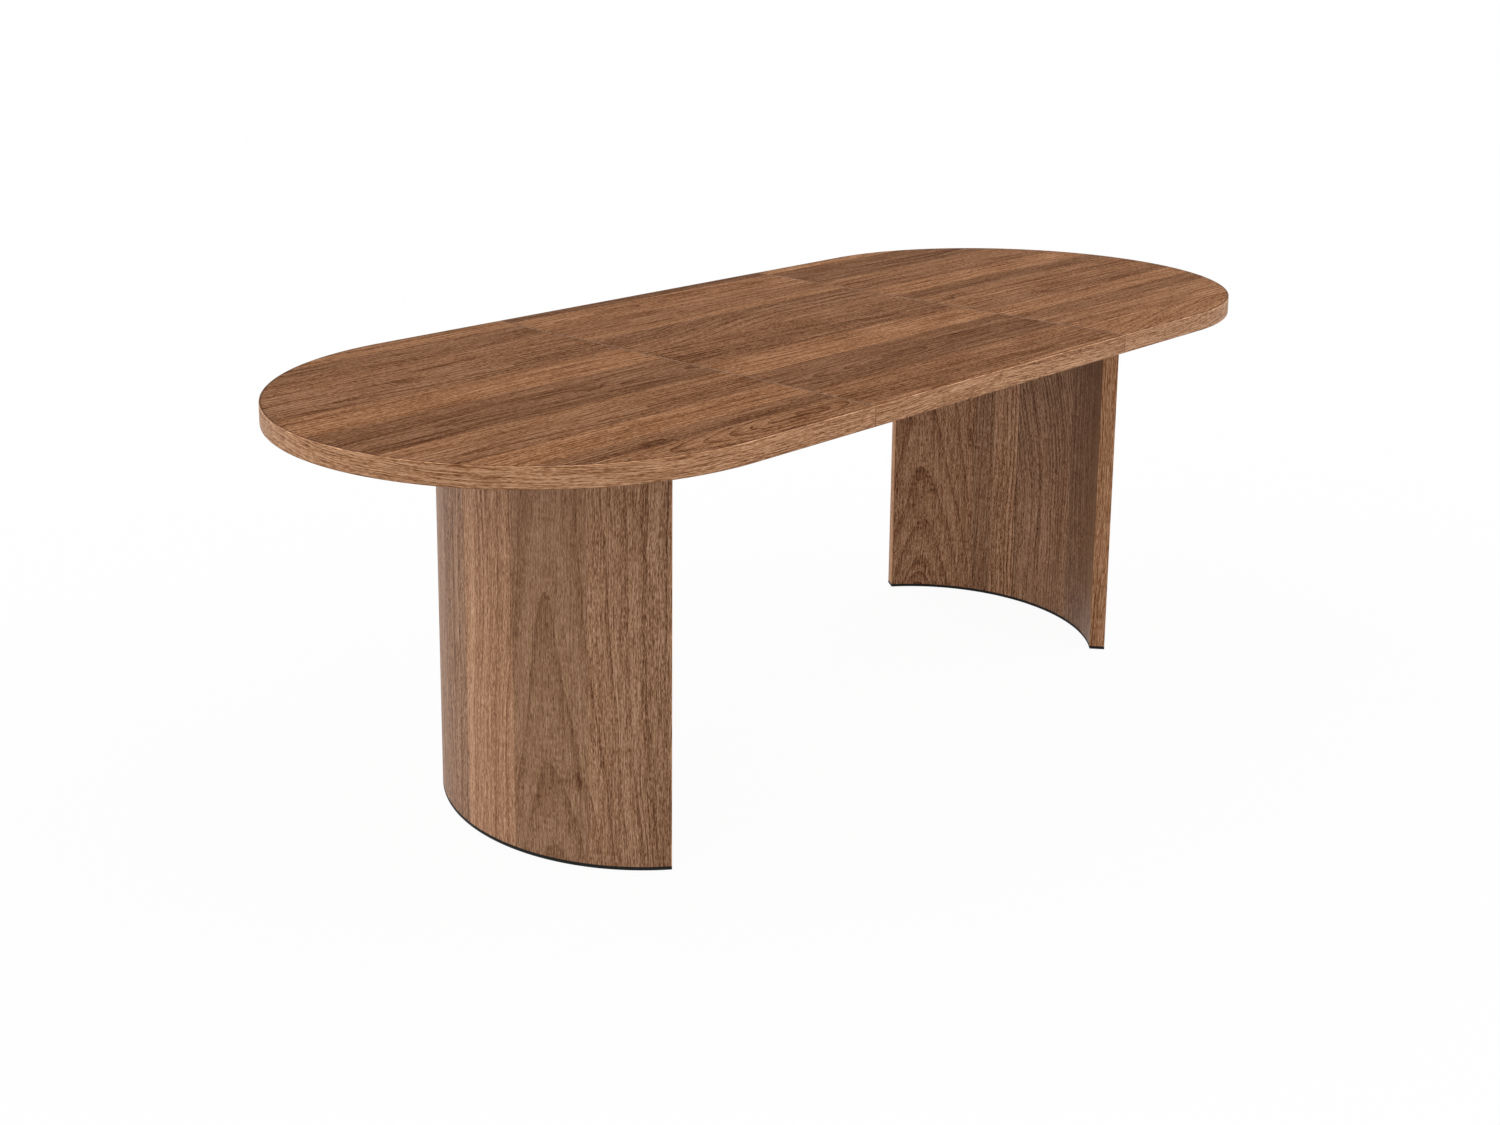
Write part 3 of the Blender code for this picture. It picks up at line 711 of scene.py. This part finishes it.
# A black plastic strip is pinned under each leg, flush with its faces, and keeps the
# walnut off the floor.
FOOT_ARRIS = 0.0008
FOOT_BLACKS = [(0.3, (0.004, 0.004, 0.004)), (0.7, (0.012, 0.012, 0.012))]
shader, plastic = new_finish("black_foot")
place = plastic.node("TexCoord", {}, {}, "Object")
speck = plastic.node("TexNoise", {}, {"Vector": place, "Scale": 900.0, "Detail": 2.0})
feed(
    shader,
    Base_Color=plastic.node("ValToRGB", {"stops": FOOT_BLACKS}, {0: speck}),
    Roughness=0.55 + speck * 0.2,
    Specular_IOR_Level=0.2,
    Normal=speck.bump(strength=0.2, distance=0.0002),
)
for side, turn in SIDES:
    node = f"{side}_foot_strip"
    low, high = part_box("right_foot_strip")
    bearing = np.linspace(-end_bearing, end_bearing, LEG_BEND_STEPS)
    path = bent_path(turn, high.x - LEG_RADIUS, LEG_RADIUS, bearing, 0.0)
    corners = [(-LEG_WALL, low.z), (0, low.z), (0, high.z), (-LEG_WALL, high.z)]
    patch = carry(rounded(corners, FOOT_ARRIS), *path)
    make_piece(f"{node}_sole", [patch], "black_foot", f"{side}_end", node)

# Under the top are the runners and the leg angles. The black steel angles and end rails are
# folded with round bends. The extruded aluminium centre rails, the tie that joins them and
# the moulded nylon glides and stops stay as their solids, with softened edges.
FINE = (900.0, 900.0, 900.0)
LENGTHWISE = (9.0, 1300.0, 1300.0)
CLOUDS = 14.0


def surface(name, dark, light, metallic, roughness, stretch, bump):
    """A plain finish: stretched noise in the piece's own space, and broad clouds, mix two
    colours and roughen the face, with the scale along X, Y and Z given in cells per metre."""
    shader, coat = new_finish(name)
    place = coat.node("TexCoord", {}, {}, "Object")
    x, y, z = (coat.node("SeparateXYZ", {}, {0: place}, axis) for axis in "XYZ")
    mottle = coat.noise(x * stretch[0], y * stretch[1], z * stretch[2], detail=2.0)
    cloud = coat.noise(x * CLOUDS, y * CLOUDS, z * CLOUDS, detail=2.0)
    feed(
        shader,
        Base_Color=(0.5 + mottle * 0.8 + cloud * 0.6).blend(dark, light),
        Metallic=metallic,
        Roughness=roughness + mottle * 0.25 + cloud * 0.15,
        Normal=mottle.bump(strength=bump, distance=0.0003),
    )


ALUMINIUM = ((0.50, 0.50, 0.52), (0.72, 0.72, 0.74))
BLACK_COAT = ((0.012, 0.012, 0.013), (0.030, 0.030, 0.032))
DARK_NYLON = ((0.020, 0.020, 0.020), (0.042, 0.042, 0.042))
surface("rail_aluminium", *ALUMINIUM, metallic=1.0, roughness=0.34, stretch=LENGTHWISE, bump=0.10)
surface("black_steel", *BLACK_COAT, metallic=0.0, roughness=0.50, stretch=FINE, bump=0.25)
surface("nylon", *DARK_NYLON, metallic=0.0, roughness=0.50, stretch=FINE, bump=0.12)

# The angle's thickness, and its bends from the outer corner round its section; and the end
# rail's wall, and its bends from the lower corner at its back to the end of its lip.
ANGLE_THICK = 0.004
ANGLE_BENDS = (0.005, 0.0008, 0.0008, 0.002, 0.0008, 0.0008)
ANGLE_BEND_STEPS = 49
RAIL_WALL = 0.0025
RAIL_BENDS = (0.003, 0.0006, 0.0006, 0.0008)
for side, turn in SIDES:
    body = f"{side}_end"
    node = f"{side}_leg_angle"
    low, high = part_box("right_leg_angle")
    radius = high.x - leg_centre
    bearing = np.linspace(-1, 1, ANGLE_BEND_STEPS) * math.asin(high.y / radius)
    path = bent_path(turn, leg_centre, radius, bearing, high.z)
    arm = low.z - high.z
    inner = -ANGLE_THICK
    corners = [(0, 0), (0, arm), (inner, arm), (inner, inner), (arm, inner), (arm, 0)]
    patch = carry(rounded(corners, ANGLE_BENDS), *path)
    make_piece(f"{node}_bent", [patch], "black_steel", body, node)
    for row in ("front", "back"):
        node = f"{side}_{row}_end_rail"
        low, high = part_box(node)
        runner_low, runner_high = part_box(f"{row}_centre_rail")
        out = math.copysign(1, low.y + high.y - runner_low.y - runner_high.y)
        width = high.y - low.y
        half = [(0, 0), (width, 0), (width, RAIL_WALL), (RAIL_WALL, RAIL_WALL)]
        corners = half + [(y, high.z - low.z - z) for y, z in half[::-1]]
        x = np.array([low.x, (low.x + high.x) / 2, high.x])
        y = np.full_like(x, low.y if out > 0 else high.y)
        path = level_path(x, y, low.z, np.array([[0.0, out]] * len(x)))
        patch = carry(rounded(corners, RAIL_BENDS + RAIL_BENDS[::-1]), *path)
        make_piece(f"{node}_folded", [patch], "black_steel", body, node)

SOLIDS = ("rail_aluminium", "black_steel", "nylon")
slots = {part["node"]: part["material_slot"] for part in frame["record"]["subparts"]}
for name, node in frame["nodes"].items():
    if slots[name] in SOLIDS and not name.endswith(("leg_angle", "end_rail")):
        node.data.materials.clear()
        node.data.materials.append(FINISHES[slots[name]])
        weld = node.modifiers.new("weld", "WELD")
        weld.merge_threshold = 1e-5
        bevel = node.modifiers.new("softened_edges", "BEVEL")
        bevel.width = 0.0005
        bevel.segments = 2
        bevel.limit_method = "ANGLE"
        bevel.angle_limit = SHARP_BEND

# The fasteners and pegs are turned: zinc-plated bolts with a button head and a hexagon
# socket, screws with a pan head and a cross recess, and fluted beech pegs under the leaf.
ZINC = ((0.48, 0.48, 0.46), (0.70, 0.70, 0.68))
BEECH = ((0.44, 0.28, 0.15), (0.62, 0.45, 0.28))
UPRIGHT = (900.0, 900.0, 30.0)
surface("zinc_steel", *ZINC, metallic=1.0, roughness=0.32, stretch=FINE, bump=0.08)
surface("beech_peg", *BEECH, metallic=0.0, roughness=0.55, stretch=UPRIGHT, bump=0.2)

# Radii for each bearing round an axis: the bolt's socket, whose flats lie at one distance, the
# screw's recess, with four arms, and the peg, with eight flutes.
BEARINGS = np.linspace(0, 2 * math.pi, 49)
SOCKET_FLAT = 0.0025
HEXAGON = SOCKET_FLAT / np.cos(BEARINGS % (math.pi / 3) - math.pi / 6)
RECESS_CORE = 0.0007
RECESS_ARM = 0.0015
CROSS = RECESS_CORE + RECESS_ARM * np.cos(2 * BEARINGS) ** 6
PEG_RADIUS = 0.0040
PEG_CHAMFER = 0.001
FLUTE_DEPTH = 0.0003
FLUTES = PEG_RADIUS - FLUTE_DEPTH * np.cos(4 * BEARINGS) ** 2

# A fastener's tip is chamfered by a share of its radius. Its head has an upright rim for a
# share of its height, a flat crown for a share of its radius, and a socket that tapers.
POINT = 0.3
RIM = 0.4
CROWN = 0.62
TAPER = 0.9
BOLT_SHANK = 0.003
LEG_BOLT_BEARING = math.radians(11)


def turned(node, finish, body, tip, way, rings):
    """Rings about an axis that points the given way. A ring is its radius, or one radius for
    each bearing, and how far it lies back from the tip."""
    way = np.array(way, float)
    side = np.cross(way, (0, 0, 1) if way[2] == 0 else (1, 0, 0))
    spokes = np.cos(BEARINGS)[:, None] * side + np.sin(BEARINGS)[:, None] * np.cross(way, side)
    radii, backs = zip(*rings)
    radii = np.stack([np.broadcast_to(radius, BEARINGS.shape) for radius in radii])[..., None]
    points = np.array(tip) - way * np.array(backs)[:, None, None] + radii * spokes
    make_piece(f"{node}_turned", [(points, np.zeros_like(points))], finish, body, node)


def headed(shank, length, rim, height, socket, depth):
    """A fastener's rings, from its tip to the foot of its socket. The head rises from its rim
    to its crown as a quarter ellipse."""
    rise = np.linspace(0, math.pi / 2, 6)
    radii = rim * (CROWN + (1 - CROWN) * np.cos(rise))
    backs = length + height * (RIM + (1 - RIM) * np.sin(rise))
    tip = [(0, 0), ((1 - POINT) * shank, 0), (shank, POINT * shank)]
    head = [(shank, length), (rim, length), *zip(radii, backs), (socket, length + height)]
    foot = length + height - depth
    return tip + head + [(TAPER * socket, foot), (0, foot)]


BOLT = headed(BOLT_SHANK, length=0.024, rim=0.006, height=0.004, socket=HEXAGON, depth=0.0024)
SCREW = headed(0.002, length=0.021, rim=0.0042, height=0.003, socket=CROSS, depth=0.0015)
for name in frame["nodes"]:
    low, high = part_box(name)
    middle = (low + high) / 2
    body = "centre_frame" if "tie" in name else name.split("_")[0] + "_end"
    if "screw" in name or "top_bolt" in name:
        rings = SCREW if "screw" in name else BOLT
        turned(name, "zinc_steel", body, (middle.x, middle.y, high.z), (0, 0, 1), rings)
    elif "leg_bolt" in name:
        along, across = math.cos(LEG_BOLT_BEARING), math.sin(LEG_BOLT_BEARING)
        turn = math.copysign(1, middle.x)
        way = np.array([turn * along, math.copysign(across, middle.y), 0])
        reach = max(abs(low.x), abs(high.x)) - leg_centre
        tip = np.array([turn * leg_centre, 0, middle.z]) + way * (reach - BOLT_SHANK * across) / along
        turned(name, "zinc_steel", body, tip, way, BOLT)
    elif "leaf_peg" in name:
        length = high.z - low.z
        end = PEG_RADIUS - PEG_CHAMFER
        first_half = [(0, 0), (end, 0), (FLUTES, PEG_CHAMFER)]
        rings = first_half + [(radius, length - back) for radius, back in first_half[::-1]]
        turned(name, "beech_peg", "leaf", (middle.x, middle.y, low.z), (0, 0, -1), rings)

# The studio is a pale painted floor in a white room without lamps. Both show white to the
# camera. The room's light is soft and comes most from both ends of one level line, which
# crosses the table at a slant.
FLOOR_HALF = 12.0
FLOOR_DROP = 0.0005
PAINT = (0.97, 0.97, 0.97, 1)
WHITE = (1, 1, 1, 1)
FLOOR_GLOW = 0.95
ROOM_LIGHT = 0.5
LINE_LIGHT = 1.8
LIGHT_LINE = (0.76, -0.65, 0.0)


def seen_white(tree):
    """1 for the rays that show the studio to the camera, straight on, by gloss or through glass."""
    rays = ("Is Camera Ray", "Is Glossy Ray", "Is Transmission Ray")
    straight, glossy, through = (tree.node("LightPath", {}, {}, ray) for ray in rays)
    return tree.math("MAXIMUM", tree.math("MAXIMUM", straight, glossy), through)


shader, paint = new_finish("pale_floor")
paint.tree.nodes.remove(shader)
painted = paint.node("BsdfDiffuse", {}, {"Color": PAINT})
glow = paint.node("Emission", {}, {"Color": WHITE, "Strength": 1.0})
mixed = paint.node("MixShader", {}, {0: seen_white(paint) * FLOOR_GLOW, 1: painted, 2: glow})
paint.tree.links.new(mixed.socket, paint.tree.nodes["Material Output"].inputs["Surface"])

square = np.array([(-1, -1, 0), (1, -1, 0), (1, 1, 0), (-1, 1, 0)])
floor_mesh = bpy.data.meshes.new("floor")
floor_mesh.from_pydata((square * FLOOR_HALF - (0, 0, FLOOR_DROP)).tolist(), [], [(0, 1, 2, 3)])
floor_mesh.materials.append(FINISHES["pale_floor"])
floor = bpy.data.objects.new("floor", floor_mesh)
bpy.context.scene.collection.objects.link(floor)

world = bpy.data.worlds.new("white_room")
bpy.context.scene.world = world
world.use_nodes = True
room = Tone(world.node_tree)
towards = room.node("TexCoord", {}, {}, "Generated")
sockets = {0: towards, 1: LIGHT_LINE}
lined_up = room.node("VectorMath", {"operation": "DOT_PRODUCT"}, sockets, "Value")
strength = ROOM_LIGHT + lined_up * lined_up * LINE_LIGHT
lit = room.node("Background", {}, {"Color": WHITE, "Strength": strength})
white = room.node("Background", {}, {"Color": WHITE, "Strength": 1.0})
mixed = room.node("MixShader", {}, {0: seen_white(room), 1: lit, 2: white})
world.node_tree.links.new(mixed.socket, world.node_tree.nodes["World Output"].inputs["Surface"])

TILT_DOWN = math.radians(10.867)
TURN_RIGHT = math.radians(44.856)
lens = bpy.data.cameras.new("camera")
lens.lens = 42.461
lens.sensor_width = 36.0
lens.shift_x = 0.0605
lens.shift_y = -0.18
lens.clip_start = 0.05
lens.clip_end = 100.0
camera = bpy.data.objects.new("camera", lens)
camera.location = (-2.5345, -2.1488, 1.4611)
camera.rotation_euler = (math.pi / 2 - TILT_DOWN, 0, -TURN_RIGHT)
bpy.context.scene.collection.objects.link(camera)
bpy.context.scene.camera = camera
bpy.context.scene.view_settings.view_transform = "Standard"
